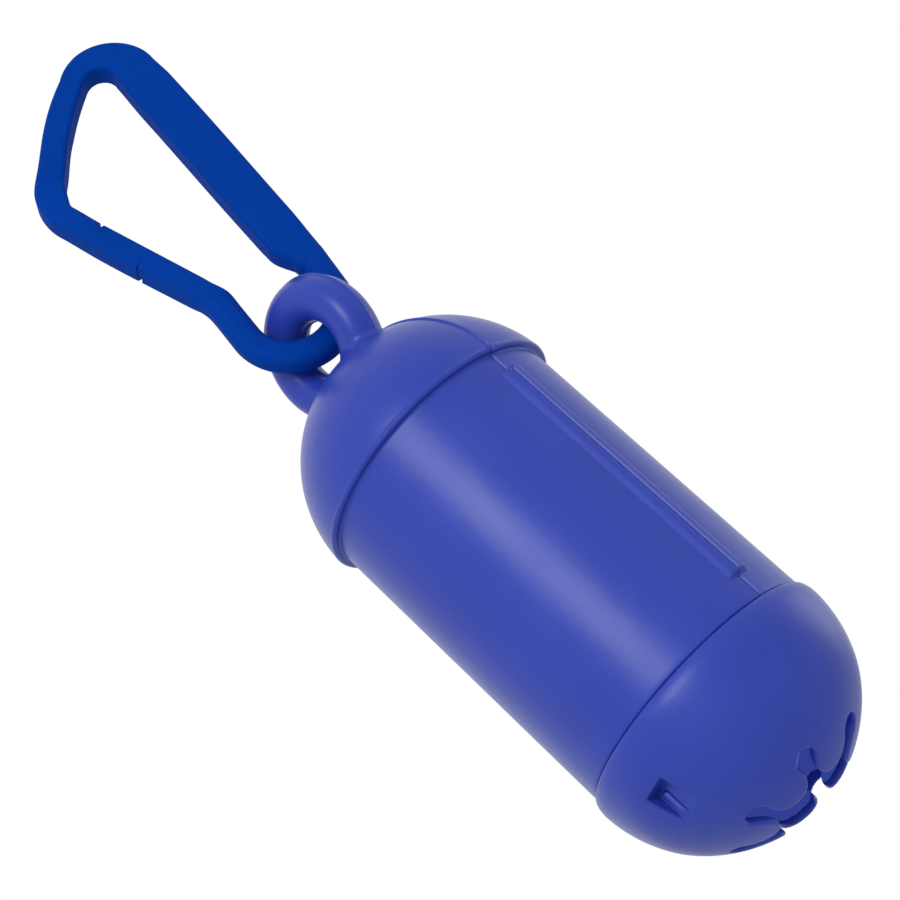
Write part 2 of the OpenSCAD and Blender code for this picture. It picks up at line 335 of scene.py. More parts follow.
def grid_faces(rows, columns, closed_rows=False):
    """Faces of a grid whose columns go round, looking outwards for rows from top to bottom."""
    last = rows if closed_rows else rows - 1
    i, j = np.meshgrid(np.arange(last), np.arange(columns), indexing="ij")
    below, right = (i + 1) % rows, (j + 1) % columns
    quad = [i * columns + j, below * columns + j, below * columns + right, i * columns + right]
    return np.stack(quad, -1).reshape(-1, 4)


def capped_faces(rows, columns):
    """Faces of such a grid with its first and last row closed by one face each."""
    faces = grid_faces(rows, columns).tolist()
    faces.append(list(range(columns)))
    faces.append(list(range(rows * columns - 1, (rows - 1) * columns - 1, -1)))
    return faces


def arc(centre, radius, start, end, count):
    """Points on a profile's arc, angles in degrees from outwards and turning upwards."""
    a = np.radians(np.linspace(start, end, count))
    return np.stack([centre[0] + radius * np.cos(a), centre[1] + radius * np.sin(a)], -1)


def stretch(a, b, count):
    """Points between two profile points, ends left out."""
    t = np.linspace(0, 1, count + 2)[1:-1, None]
    return np.array(a) * (1 - t) + np.array(b) * t


def all_round(near, far_count):
    """Angles all round: the near ones about both parting lines, even ones between them."""
    far = np.linspace(near[-1], math.pi - near[-1], far_count)[1:-1]
    half = np.concatenate([near, far, math.pi - near[::-1]])
    return np.concatenate([half, TAU - half[-2:0:-1]])


# Materials: each has its own colour drift, roughness and fine relief

# Painted light: colour of a glow on the capsule's inner side and on the bag film, which brightens their
# shade inside the capsule
PAINTED_GLOW_COLOUR = (0.10, 0.16, 0.80, 1)
FILM_PAINTED_GLOW = 0.2


def new_material(name):
    material = bpy.data.materials.new(name)
    material.use_nodes = True
    tree = material.node_tree
    shader = tree.nodes["Principled BSDF"]
    place = tree.nodes.new("ShaderNodeTexCoord").outputs["Object"]
    return material, tree, shader, place


def noise(tree, place, features_per_m, detail=3.0, stretch_by=(1, 1, 1)):
    mapping = tree.nodes.new("ShaderNodeMapping")
    mapping.inputs["Scale"].default_value = stretch_by
    node = tree.nodes.new("ShaderNodeTexNoise")
    node.inputs["Scale"].default_value = features_per_m
    node.inputs["Detail"].default_value = detail
    tree.links.new(place, mapping.inputs["Vector"])
    tree.links.new(mapping.outputs["Vector"], node.inputs["Vector"])
    return node.outputs["Fac"]


def spread(tree, value, low, high):
    """A 0 to 1 noise as a value that stays between low and high."""
    node = tree.nodes.new("ShaderNodeMapRange")
    node.inputs["From Min"].default_value = 0.25
    node.inputs["From Max"].default_value = 0.75
    node.inputs["To Min"].default_value = low
    node.inputs["To Max"].default_value = high
    tree.links.new(value, node.inputs["Value"])
    return node.outputs["Result"]


def tint(tree, value, dark, light):
    node = tree.nodes.new("ShaderNodeMix")
    node.data_type = "RGBA"
    node.inputs["A"].default_value = (*dark, 1)
    node.inputs["B"].default_value = (*light, 1)
    tree.links.new(value, node.inputs["Factor"])
    return node.outputs["Result"]


def relief(tree, shader, *layers):
    """Stacks bumps: each layer is a noise and the depth of its relief in metres."""
    normal = None
    for value, depth_m in layers:
        bump = tree.nodes.new("ShaderNodeBump")
        bump.inputs["Distance"].default_value = depth_m
        tree.links.new(value, bump.inputs["Height"])
        if normal is not None:
            tree.links.new(normal, bump.inputs["Normal"])
        normal = bump.outputs["Normal"]
    tree.links.new(normal, shader.inputs["Normal"])


def moulded_plastic(name, dark, light, roughness, specular, grain_m, painted_glow=0.0):
    """Satin injection-moulded plastic: faint flow clouds, a spark-worn grain and slow ripples.

    The painted glow is painted light: an emission that brightens a shaded inner side, though it is no lamp.
    """
    material, tree, shader, place = new_material(name)
    clouds = noise(tree, place, 90, 4)
    grain = noise(tree, place, 2600, 2)
    ripples = noise(tree, place, 160, 2)
    tree.links.new(tint(tree, spread(tree, clouds, 0, 1), dark, light), shader.inputs["Base Color"])
    tree.links.new(spread(tree, clouds, *roughness), shader.inputs["Roughness"])
    shader.inputs["Specular IOR Level"].default_value = specular
    # Painted light: the emission makes the surface glow though it is no lamp; its strength is zero unless a
    # painted glow is given
    shader.inputs["Emission Color"].default_value = PAINTED_GLOW_COLOUR
    shader.inputs["Emission Strength"].default_value = painted_glow
    relief(tree, shader, (ripples, 0.00006), (grain, grain_m))
    return material


def film(name, dark, light):
    """Thin bag film wound in layers: fine lines round the roll and glossier folds, and a painted glow that
    brightens it in the shade inside the capsule.
    """
    material, tree, shader, place = new_material(name)
    layers = noise(tree, place, 700, 3, (1, 1, 0.2))
    clouds = noise(tree, place, 300, 3)
    tree.links.new(tint(tree, spread(tree, clouds, 0, 1), dark, light), shader.inputs["Base Color"])
    tree.links.new(spread(tree, layers, 0.28, 0.45), shader.inputs["Roughness"])
    shader.inputs["Specular IOR Level"].default_value = 0.4
    # Painted light: the film glows though it is no lamp
    shader.inputs["Emission Color"].default_value = PAINTED_GLOW_COLOUR
    shader.inputs["Emission Strength"].default_value = FILM_PAINTED_GLOW
    relief(tree, shader, (layers, 0.00012), (clouds, 0.00008))
    return material


def card(name):
    """Grey-brown core card with fibres."""
    material, tree, shader, place = new_material(name)
    fibres = noise(tree, place, 1500, 5, (1, 1, 0.25))
    patches = noise(tree, place, 260, 3)
    colours = tint(tree, spread(tree, fibres, 0, 1), (0.27, 0.21, 0.14), (0.42, 0.34, 0.25))
    tree.links.new(colours, shader.inputs["Base Color"])
    tree.links.new(spread(tree, patches, 0.75, 0.95), shader.inputs["Roughness"])
    shader.inputs["Specular IOR Level"].default_value = 0.2
    relief(tree, shader, (patches, 0.00005), (fibres, 0.00006))
    return material


CAPSULE = moulded_plastic("capsule_plastic", (0.018, 0.042, 0.345), (0.021, 0.048, 0.375),
                          (0.30, 0.36), 0.30, 0.000010)
# Painted shade and painted light: a darker copy of the capsule plastic for the cap's inner side, with a glow
# that is no lamp
INSIDE_PAINTED_SHADE_AND_GLOW = moulded_plastic("capsule_inside_painted_shade_and_glow", (0.012, 0.022, 0.190), (0.015, 0.027, 0.210),
                         (0.50, 0.60), 0.20, 0.000010, 0.28)
HOOK = moulded_plastic("hook_plastic", (0.0003, 0.036, 0.280), (0.0004, 0.042, 0.315),
                       (0.55, 0.65), 0.02, 0.000012)
FILM = film("bag_film", (0.05, 0.10, 0.50), (0.08, 0.14, 0.62))
CARD = card("core_card")


def add_piece(obj, body, slot, *nodes):
    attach(obj, body)
    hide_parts(*nodes)


# Capsule body: a closed turned shell with parting lines and two ribs

def seam(y):
    """Height of the parting line at y across it."""
    across = y / SEAM_HALF
    line = SEAM_RISE * np.exp(-(across - SEAM_RISE_AT) ** 2)
    groove = SEAM_SINK * np.exp(-(across - SEAM_SINK_AT) ** 2)
    proud = SEAM_STEP * smooth(y / SEAM_STEP_RUN + 0.5) * smooth((SEAM_FADE_AT - y) / SEAM_FADE_RUN)
    return line - groove + proud


def rib(y, z):
    """Height of the flat-topped rib with sloped flanks and ends."""
    slope = RIB_RISE / (RIB_FOOT - RIB_TOP)
    flanks = slope * (RIB_FOOT - np.abs(y))
    ends = RIB_END_SLOPE * np.minimum(RIB_TOP_Z - z, z - RIB_LOW_Z)
    rise = soft_min(soft_min(flanks, ends, RIB_CORNER), RIB_RISE, RIB_SOFT)
    return -soft_min(-rise, 0 * rise, RIB_SOFT)


def body_columns():
    """Angles round the tube, close together on the ribs and parting lines."""
    parting_line = np.linspace(0, 0.48, 9)
    rib_top = np.linspace(0.6, 0.8, 2)
    top_edge = np.linspace(0.9, 1.2, 4)
    flank = np.linspace(1.4, 1.8, 3)
    foot_edge = np.linspace(1.92, 2.25, 4)
    near = np.concatenate([parting_line, rib_top, top_edge, flank, foot_edge, [2.5, 2.9]])
    return all_round(near / TUBE_R, 132)


def body_profile():
    """Radius and height of the outer side from the dome's top down, and of the inner side back up."""
    edge_r, ease, low_round = 0.5, 0.25, 0.35
    dome_edge_r = math.sqrt(DOME_R ** 2 - DOME_SINK ** 2)
    dome_low = math.degrees(math.asin((DOME_SINK + edge_r) / DOME_R))
    dome = arc((0, DOME_C_Z), DOME_R, 89.9, dome_low, 84)
    rim = arc((dome_edge_r - edge_r, STEP_Z + edge_r), edge_r, 0, -90, 8)
    under = stretch(rim[-1], (TUBE_R + ease, STEP_Z), 2)
    corner_below = arc((TUBE_R + ease, STEP_Z - ease), ease, 90, 180, 5)
    heights = np.concatenate([
        np.linspace(STEP_Z - ease, RIB_TOP_Z + 0.4, 5)[1:],
        np.linspace(RIB_TOP_Z + 0.2, RIB_TOP_Z - 0.9, 10),
        np.linspace(RIB_TOP_Z - 1.6, RIB_LOW_Z + 1.6, 34),
        np.linspace(RIB_LOW_Z + 0.9, RIB_LOW_Z - 0.2, 10),
        np.linspace(RIB_LOW_Z - 0.6, EDGE_Z + low_round, 5)])
    tube = np.stack([np.full_like(heights, TUBE_R), heights], -1)
    foot = arc((TUBE_R - low_round, EDGE_Z + low_round), low_round, 0, -90, 5)[1:]
    outer = np.concatenate([dome, rim, under, corner_below, tube, foot])

    inner_r, shoulder_z = TUBE_R - WALL, EDGE_Z + SHOULDER_H
    neck_top = [(NECK_R, EDGE_Z), (NECK_IN_R, EDGE_Z), (NECK_IN_R, shoulder_z), (inner_r, shoulder_z)]
    inner_tube = stretch((inner_r, shoulder_z), (inner_r, STEP_Z), 6)
    inner_dome = arc((0, DOME_C_Z), DOME_R - WALL, 3, 89.8, 28)
    inner = np.concatenate([neck_top, inner_tube, [(inner_r, STEP_Z)], inner_dome])
    return outer, inner


def make_body(material):
    outer, inner = body_profile()
    profile = np.concatenate([outer, inner])
    radius, z = profile[:, :1], profile[:, 1:]
    columns = body_columns()
    tangent = np.gradient(profile, axis=0)
    out = np.stack([-tangent[:, 1], tangent[:, 0]], -1)
    out /= np.linalg.norm(out, axis=-1, keepdims=True)
    outside = (np.arange(len(profile)) < len(outer) - 1)[:, None]
    shown = outside * smooth((radius - SEAM_FROM_R) / 2)
    on_tube = (z < STEP_Z - 1) * shown
    y = radius * np.sin(columns)
    rise = seam(y) * shown + rib(y, z) * on_tube
    radius = radius + rise * out[:, :1]
    z = z + rise * out[:, 1:]
    points = np.stack([radius * np.cos(columns), radius * np.sin(columns), z], -1)
    faces = capped_faces(*points.shape[:2])
    return mesh_piece("body_shell", on_capsule(points.reshape(-1, 3)), faces, material)


# Loop: a ring of round rod that grows out of the dome with a small fillet

def ring_distance(p):
    x, y, z = np.moveaxis(p, -1, 0)
    out = np.hypot(x, z - LOOP_Z - LOOP_LIFT) - LOOP_R
    around = np.maximum(np.hypot(out, y), 1e-6)
    return around - LOOP_ROD_R - LOOP_SWELL * smooth(out / around + LOOP_SWELL_FROM)


def dome_distance(p):
    return np.linalg.norm(p - np.array([0, 0, DOME_C_Z]), axis=-1) - DOME_R


def make_loop(material):
    """The ring's points are pushed out, step by step, until they reach the fillet's surface."""
    near = np.concatenate([np.linspace(0, 0.48, 9), [0.65, 0.9]]) / LOOP_ROD_R
    round_rod = all_round(near, 32)
    round_ring = np.linspace(0, TAU, 260, endpoint=False)
    u, v = np.meshgrid(round_ring, round_rod, indexing="ij")
    facing = np.stack([np.cos(v) * np.cos(u), np.sin(v), np.cos(v) * np.sin(u)], -1)
    middle = np.stack([LOOP_R * np.cos(u), 0 * u, LOOP_Z + LOOP_LIFT + LOOP_R * np.sin(u)], -1)
    line = seam(LOOP_ROD_R * np.sin(v))
    rod = LOOP_ROD_R + LOOP_SWELL * smooth(np.cos(v) + LOOP_SWELL_FROM)
    p = middle + facing * (rod + line)[..., None]
    grown = np.zeros_like(u)
    for _ in range(LOOP_PUSHES):
        short = -joined(ring_distance(p), dome_distance(p), LOOP_FILLET) + 0.004
        push = np.where(grown < LOOP_FILLET_MOST, np.maximum(short - line, 0), 0)
        grown += push
        p = p + facing * push[..., None]
    on_dome = smooth(1 - dome_distance(p) / 0.3) * smooth(grown / 0.6)
    p[..., 2] -= LOOP_FOOT_SINK * on_dome
    faces = grid_faces(*u.shape, closed_rows=True)
    return mesh_piece("body_loop", on_capsule(p.reshape(-1, 3)), faces[:, ::-1], material)


# Neck: the ring the cap turns on, with an L-shaped slot for each lug

def neck_distance(p):
    x, y, z = np.moveaxis(p, -1, 0)
    r, drop = np.hypot(x, y), EDGE_Z - z
    ring = overlap(r - NECK_R, NECK_IN_R - r, drop - NECK_LEN, -NECK_ROOT - drop)
    half = math.asin((LUG_HALF + LUG_GAP) / NECK_R)
    slot_top = LUG_DROP - LUG_GAP
    slot_low = LUG_DROP + LUG_H + LUG_GAP
    slots = np.full_like(r, FAR)
    for side in (-TAU / 4, TAU / 4):
        turn = (np.arctan2(y, x) - side + TAU / 4) % TAU - TAU / 4
        sideways = np.maximum(turn - half, -TWIST - half - turn) * NECK_R
        along = overlap(sideways, slot_top - drop, drop - slot_low)
        down = np.maximum((np.abs(turn + TWIST) - half) * NECK_R, slot_top - drop)
        slots = np.minimum(slots, np.minimum(along, down))
    return common(ring, -slots, NECK_EDGE)


def make_neck(material):
    reach = NECK_R + 0.7
    low = [-reach, -reach, EDGE_Z - NECK_LEN - 0.7]
    high = [reach, reach, EDGE_Z + 1.4]
    points, faces, _ = skin(neck_distance, low, high, NECK_CELL)
    return mesh_piece("body_neck", on_capsule(points), faces, material)


# Cap: a round shell with the flower opening, two windows and two lugs

def flower_distance(x, y):
    r, turn = np.hypot(x, y), np.arctan2(y, x) - FLOWER_TURN
    fold = turn % (TAU / LOBES) - TAU / LOBES / 2
    u, v = r * np.cos(fold), np.abs(r * np.sin(fold))
    lobe_end = np.hypot(u - LOBE_REACH, v) - LOBE_R
    lobe = joined(lobe_end, np.maximum(v - LOBE_NECK, u - LOBE_REACH), LOBE_FILLET)
    finger = TAU / LOBES / 2
    tip_u, tip_v = FINGER_REACH * math.cos(finger), FINGER_REACH * math.sin(finger)
    tip = np.hypot(u - tip_u, v - tip_v) - FINGER_TIP_R
    return common(np.minimum(lobe, r - FINGER_REACH), -tip, FINGER_EDGE)


def cap_distance(p):
    x, y, z = np.moveaxis(p, -1, 0)
    r, drop = np.hypot(x, y), EDGE_Z - z
    aside, out = np.abs(x), np.abs(y)
    ball_r = np.hypot(r, np.maximum(drop - CAP_STRAIGHT, 0))

    bulge = np.sqrt(1 - np.clip(1 - drop / CAP_SWELL, 0, 1) ** 2)
    drawn_in = (CAP_R - CAP_LIP_R) * (1 - bulge)
    lip = np.where(drop < CAP_STRAIGHT, r - CAP_R, -FAR) + drawn_in
    flat = CAP_FLAT * smooth((drop - CAP_FLAT_FROM) / CAP_FLAT_RUN)
    outer = np.maximum(ball_r - CAP_R + flat + drawn_in, lip)
    shell = common(outer, CAP_EDGE_GAP - drop, CAP_EDGE)
    hollow = np.maximum(r - SKIRT_R, ball_r - CAP_IN_R)
    solid = common(shell, -hollow, CAP_EDGE)

    lug = overlap(LUG_IN_R - r, r - SKIRT_R - LUG_ROOT, aside - LUG_HALF,
                  LUG_DROP - drop, drop - LUG_DROP - LUG_H)
    solid = joined(solid, lug, LUG_ROOT)

    pocket_back = overlap(WINDOW_IN_R - WINDOW_FLOOR - out, aside - LUG_HALF - WINDOW_WALL,
                          WINDOW_TOP - WINDOW_WALL - drop, ball_r - CAP_R + WALL / 2)
    solid = np.minimum(solid, pocket_back)
    window = overlap(aside - LUG_HALF, WINDOW_IN_R - out, WINDOW_TOP - drop)
    solid = common(solid, -window, WINDOW_EDGE)
    bead = np.hypot(x - BEAD_X, out - WINDOW_IN_R) - BEAD_R
    bead = overlap(bead, WINDOW_TOP + BEAD_DROP - drop, ball_r - CAP_R + BEAD_DEPTH)
    solid = np.minimum(solid, bead)

    flower = np.maximum(flower_distance(x, y), FLOWER_FROM - drop)
    return common(solid, -flower, FLOWER_LIP)


def make_cap(material):
    reach = CAP_R + 0.5
    low = [-reach, -reach, EDGE_Z - CAP_STRAIGHT - CAP_R - 0.5]
    high = [reach, reach, EDGE_Z + 0.6]
    points, faces, normals = skin(cap_distance, low, high, CAP_CELL)
    turned = on_capsule(normals) - on_capsule(np.zeros(3))
    cap = mesh_piece("cap_shell", on_capsule(points), faces, material, turned)
    cap.data.materials.append(INSIDE_PAINTED_SHADE_AND_GLOW)
    # The hollow's faces outside the window pockets get the inside copy of the plastic: painted shade and a
    # painted glow
    middles = points[faces].mean(1) - np.array([0, 0, EDGE_Z - CAP_STRAIGHT])
    on_hollow = np.linalg.norm(middles, axis=-1) < CAP_IN_R + 0.1
    off_pockets = np.abs(middles[:, 1]) < WINDOW_IN_R - WINDOW_FLOOR + 0.1
    cap.data.polygons.foreach_set("material_index", (on_hollow & off_pockets).astype(int))
    return cap


# Hook: one bent bar of rounded flat section, cut at the lap joint of its gate

def unit(v):
    return v / np.hypot(*v)


def left_of(v):
    return np.array([-v[1], v[0]])


def angle_of(v):
    return math.atan2(v[1], v[0])


def half_turn(angle):
    """The same angle, from half a turn back to half a turn on."""
    return (angle + math.pi) % TAU - math.pi


def corner(a, b, c, radius):
    """Centre, start and end of the round corner at b between the lines to a and c."""
    to_a, to_c = unit(a - b), unit(c - b)
    half = math.acos(to_a @ to_c) / 2
    run = radius / math.tan(half)
    return b + unit(to_a + to_c) * radius / math.sin(half), b + to_a * run, b + to_c * run


def straight(flat, a, b, reach):
    """Distance to a bar from a to b; reach gives how far it stands out on its left and right."""
    along, length = unit(b - a), np.hypot(*(b - a))
    t, s = (flat - a) @ along, (flat - a) @ left_of(along)
    near = np.clip(t, 0, length)
    left, right = reach(near, length)
    return np.hypot(t - near, s - (left - right) / 2) - (left + right) / 2


def bend(flat, centre, start, end, reach, sweep=None):
    """Distance to a curved bar; reach gives how far it stands out on its outer and inner side."""
    first, radius = angle_of(start - centre), np.hypot(*(start - centre))
    if sweep is None:
        sweep = half_turn(angle_of(end - centre) - first)
    middle = first + sweep / 2
    turn = half_turn(np.arctan2(flat[..., 1] - centre[1], flat[..., 0] - centre[0]) - middle)
    near = np.clip(turn, -abs(sweep) / 2, abs(sweep) / 2)
    outer, inner = reach(0.5 + near / sweep)
    line = radius + (outer - inner) / 2
    x = flat[..., 0] - centre[0] - line * np.cos(middle + near)
    y = flat[..., 1] - centre[1] - line * np.sin(middle + near)
    return np.hypot(x, y) - (outer + inner) / 2


EYE = np.array([0, EYE_R])


def touch(point, side):
    """Angle at which the line from a point touches the lower bend's middle line."""
    gap = point - EYE
    return angle_of(gap) + side * math.acos(EYE_R / np.hypot(*gap))


def on_eye(angle):
    return EYE + EYE_R * np.array([math.cos(angle), math.sin(angle)])


SPINE = unit(TOP - FOOT)
NECK_START = FOOT - left_of(SPINE) * FOOT_ASIDE
GATE_SIDE = touch(WAIST, 1)
SPINE_SIDE = touch(NECK_START, -1)
TOP_C, TOP_START, TOP_END = corner(FOOT, TOP, SHOULDER, TOP_BEND_R)
HANG = TOP_C + np.array([0, TOP_BEND_R - TOP_W / 2])


# How far each stretch of the bar stands out on its two sides. t is the way along a straight
# stretch, and u is the share of a stretch or bend that lies behind.

def spine_reach(t, length):
    """The spine thins on its inner side at the foot and tapers a little towards both ends."""
    low, high = (TAPER_Z - FOOT[1]) / SPINE[1]
    foot_in = FOOT_W / 2 - FOOT_ASIDE
    inner = foot_in + (SPINE_IN - foot_in) * smooth((t - low) / (high - low))
    inner = inner - 0.14 * smooth((t - 14) / 20) - 0.18 * smooth((t - length + 7) / 7)
    outer = SPINE_OUT - 0.46 * (1 - smooth(t / 36)) - 0.32 * smooth((t - length + 5) / 5)
    return inner, outer


def top_reach(u):
    """From the spine's width down to the shoulder leg's, narrowest where the leg begins."""
    eased = u * u / (u + 0.15)
    end = np.maximum(u - 0.75, 0) ** 2
    outer = 1.0 + 2.1 * (1 - eased) ** 1.7 + 3.1 * end
    inner = 2.5 + 0.98 * (1 - smooth(u + 0.25)) - 1.4 * end
    return outer, inner


def leg_reach(t, length):
    """The leg from the top bend to the shoulder bows outwards."""
    u = t / length
    half = (TOP_W + (ROD - TOP_W) * smooth(u)) / 2
    outer = half - 0.10 - 0.95 * np.maximum(1 - u / 0.5, 0) ** 2 - 0.35 * smooth(2 * u - 1)
    inner = half - 0.32 + 0.50 * np.maximum(1 - u / 0.4, 0) ** 2 + 0.62 * smooth((u - 0.55) / 0.45)
    return inner, outer


def shoulder_reach(u):
    """The shoulder fills out towards the gate's arm and thins inside."""
    outer = 1.68 + 0.34 * smooth(u * 2) + 0.08 * smooth(u * 2 - 1)
    inner = 2.45 + 1.4 * u * (1 - u) - 0.8 * smooth(u * u)
    return outer, inner


def arm_reach(t, length):
    """The gate's arm, slimmer on its inner side."""
    u = t / length
    outer = 2.10 + 0.22 * smooth(3 * u) * (1 - smooth((u - 0.4) / 0.6)) - 0.04 * u
    inner = 1.45 + 0.2 * (1 - smooth(4 * u)) + 0.15 * u
    return inner, outer


def waist_reach(u):
    """The thin bend that flexes, growing towards the lower stretch."""
    return 1.60 + 0.60 * smooth(u * 1.3), 2.0 + 0.05 * u


def lower_reach(t, length):
    """From the waist to the lower bend's width."""
    return 2.20 - 0.05 * t / length, 2.05 + 0.10 * t / length


def eye_reach(u):
    return ROD / 2, ROD / 2


def foot_reach(t, length):
    """From the lower bend's width to the spine's foot."""
    width = FOOT_W + (ROD - FOOT_W) * (1 - smooth(t / length))
    return width / 2, width / 2


def hoop_outline(flat):
    """Distance to the hook's outline in its own plane, from x and z in the part's frame."""
    flat = flat + HANG
    gate_touch = on_eye(GATE_SIDE)
    shoulder_c, shoulder_a, shoulder_b = corner(TOP, SHOULDER, WAIST, SHOULDER_BEND_R)
    waist_c, waist_a, waist_b = corner(SHOULDER, WAIST, gate_touch, WAIST_BEND_R)
    bars = [
        straight(flat, FOOT, TOP_START, spine_reach),
        bend(flat, TOP_C, TOP_START, TOP_END, top_reach),
        straight(flat, TOP_END, shoulder_a, leg_reach),
        bend(flat, shoulder_c, shoulder_a, shoulder_b, shoulder_reach),
        straight(flat, shoulder_b, waist_a, arm_reach),
        bend(flat, waist_c, waist_a, waist_b, waist_reach),
        straight(flat, waist_b, gate_touch, lower_reach),
        bend(flat, EYE, gate_touch, None, eye_reach, (SPINE_SIDE - GATE_SIDE) % TAU),
        straight(flat, on_eye(SPINE_SIDE), NECK_START, foot_reach)]
    return np.minimum.reduce(bars)


def hook_distance(p):
    """Distance to the bar, whose section is nearly round at the lower bend."""
    x, y, z = np.moveaxis(p, -1, 0)
    outline = hoop_outline(np.stack([x, z], -1))
    soft = SECTION_ROUND + (EYE_ROUND - SECTION_ROUND) * smooth((EYE_ROUND_FROM_Z - z) / 8)
    a, b = outline + soft, np.abs(y) - ROD / 2 + soft
    return np.hypot(np.maximum(a, 0), np.maximum(b, 0)) + np.minimum(np.maximum(a, b), 0) - soft


ARM = unit(SHOULDER - WAIST)
LAP_LEN = (LAP_Z[1] - LAP_Z[0]) / ARM[1]
LAP_START = WAIST + ARM * (LAP_Z[0] - WAIST[1]) / ARM[1] - HANG
EYE_X = EYE[0] - HANG[0]
CUT_Z = EYE[1] - HANG[1]


def lap_line(gap):
    """The lap joint from the hook's inner side to its outer side, in x and z."""
    half, flare, mouth = ROD / 2, 0.2, 0.75
    sign = 1 if gap else -1
    wide, tight = LAP_ROUND + gap, LAP_ROUND - gap
    steps = np.radians(np.linspace(90, 180, 8))
    tip = [(LAP_ROUND + wide * math.cos(a), LAP_LEN - LAP_ROUND + wide * math.sin(a)) for a in steps]
    root = [(-LAP_ROUND - tight * math.cos(a), LAP_ROUND - tight * math.sin(a)) for a in steps[::-1]]
    points = [(half + 1, LAP_LEN + gap + sign * flare), (half - mouth, LAP_LEN + gap), *tip,
              *root, (mouth - half, gap), (-half - 1, gap + sign * flare)]
    inward = -left_of(ARM)
    return [LAP_START + inward * s + ARM * t for s, t in points]


def prism(name, outline, half, lean=(0, 0)):
    """A closed block with an outline in the hook's plane, leaning by x and z for each step in y."""
    n = len(outline)
    points = np.array([(x + side * half * lean[0], side * half, z + side * half * lean[1])
                       for side in (-1, 1) for x, z in outline])
    faces = [list(range(n)), list(range(2 * n - 1, n - 1, -1))]
    faces += [[(i + 1) % n, i, n + i, n + (i + 1) % n] for i in range(n)]
    return mesh_piece(name, points, faces, HOOK)


def gate_block(name, gap, below):
    """What the gate fills up to its lap joint, from a distance below the cut through the lower bend."""
    low, beyond_hook, beyond_bar = CUT_Z - below, -34.0, 6
    edge = [(beyond_hook, low), (EYE_X, low), (EYE_X, LAP_START[1])]
    return prism(name, edge + lap_line(gap) + [(beyond_hook, LAP_START[1])], beyond_bar)


def notch(name, along, edge, y):
    """A small V where the lap joint comes out at y, cut along the photograph's view.

    The edge is how far the bar reaches on that side, and is negative on the outer side.
    """
    inward = -left_of(ARM) * np.sign(edge)
    lean = VIEW[[0, 2]] / VIEW[1]
    mouth = LAP_START + ARM * along + inward * abs(edge) - lean * y
    outline = [mouth - inward, mouth + inward + ARM * NOTCH_HALF, mouth + inward - ARM * NOTCH_HALF]
    if edge > 0:
        outline = outline[::-1]
    return prism(name, outline, NOTCH_DEPTH, lean)


def cut(obj, tool, operation):
    modifier = obj.modifiers.new("cut", "BOOLEAN")
    modifier.object = tool
    modifier.operation = operation
    modifier.solver = "EXACT"
    view = bpy.context.evaluated_depsgraph_get()
    mesh = bpy.data.meshes.new_from_object(obj.evaluated_get(view))
    obj.modifiers.clear()
    obj.data = mesh
    bpy.data.objects.remove(tool)


def read_vectors(items, what):
    values = np.zeros(len(items) * 3)
    items.foreach_get(what, values)
    return values.reshape(-1, 3)


def shade_bar(obj, points):
    """Smooth shading on the bar's skin and flat shading on its cuts."""
    faces = obj.data.polygons
    slope = unit_rows(gradient(hook_distance, points, 0.05))
    flats = read_vectors(faces, "normal")
    first = slope[[face.vertices[0] for face in faces]]
    on_skin = np.abs(hook_distance(read_vectors(faces, "center") / MM)) < 0.08
    on_skin &= (flats * first).sum(-1) > 0.6
    corners = np.zeros(len(obj.data.loops), int)
    obj.data.loops.foreach_get("vertex_index", corners)
    owner = np.repeat(np.arange(len(faces)), [len(face.vertices) for face in faces])
    normals = np.where(on_skin[owner][:, None], slope[corners], flats[owner])
    obj.data.normals_split_custom_set(normals.tolist())


def keep_faces(obj, wanted, name):
    """Makes a new piece of the faces whose middles are wanted."""
    mesh = obj.data
    keep = wanted(read_vectors(mesh.polygons, "center") / MM)
    faces = [list(mesh.polygons[i].vertices) for i in np.flatnonzero(keep)]
    used = sorted({v for f in faces for v in f})
    number = {v: i for i, v in enumerate(used)}
    points = read_vectors(mesh.vertices, "co")[used] / MM
    piece = mesh_piece(name, points, [[number[v] for v in f] for f in faces], HOOK)
    bpy.data.objects.remove(obj)
    shade_bar(piece, points)
    return piece


def off_gate_arm(p):
    on_gate_side = (p[:, 0] < EYE_X) & (p[:, 2] < LAP_START[1] + LAP_LEN + 2)
    return ~(on_gate_side & (p[:, 2] > CUT_Z) & (p[:, 2] < CUT_Z + 2))


def above_cut(p):
    return p[:, 2] > CUT_Z


def make_hook():
    low, high = node_box("carabiner_frame")
    gate_low, gate_high = node_box("carabiner_gate")
    low, high = np.minimum(low, gate_low) - 0.6, np.maximum(high, gate_high) + 0.6
    points, faces, _ = skin(hook_distance, low, high, HOOK_CELL)
    whole = mesh_piece("hook_whole", points, faces, HOOK)
    cut(whole, notch("notch_in", LAP_LEN, NOTCH_IN_REACH, -NOTCH_SIDE), "DIFFERENCE")
    cut(whole, notch("notch_out", 0, NOTCH_OUT_REACH, NOTCH_SIDE), "DIFFERENCE")
    gate = whole.copy()
    gate.data = whole.data.copy()
    bpy.context.scene.collection.objects.link(gate)
    cut(whole, gate_block("frame_cut", LAP_GAP, -1), "DIFFERENCE")
    cut(gate, gate_block("gate_keep", 0, 1), "INTERSECT")
    return keep_faces(whole, off_gate_arm, "hook_frame"), keep_faces(gate, above_cut, "hook_gate")


# Roll of bags, its card core and the first bag's loose end

def make_turned(name, profile, columns, material, wobble, seed):
    """A ring turned from a closed profile, with a little unevenness from row to row."""
    rng = np.random.default_rng(seed)
    turn = np.linspace(0, TAU, columns, endpoint=False)
    shift = np.zeros((len(profile), columns))
    for wave in (1, 2, 3, 5):
        phase = rng.uniform(0, TAU, (len(profile), 1))
        shift += rng.uniform(-1, 1, (len(profile), 1)) * np.sin(wave * turn + phase) / wave
    radius = profile[:, :1] + wobble * 0.3 * shift
    z = profile[:, 1:] + wobble * shift
    points = np.stack([radius * np.cos(turn), radius * np.sin(turn), z], -1).reshape(-1, 3)
    return mesh_piece(name, on_capsule(points), grid_faces(len(profile), columns, True), material)


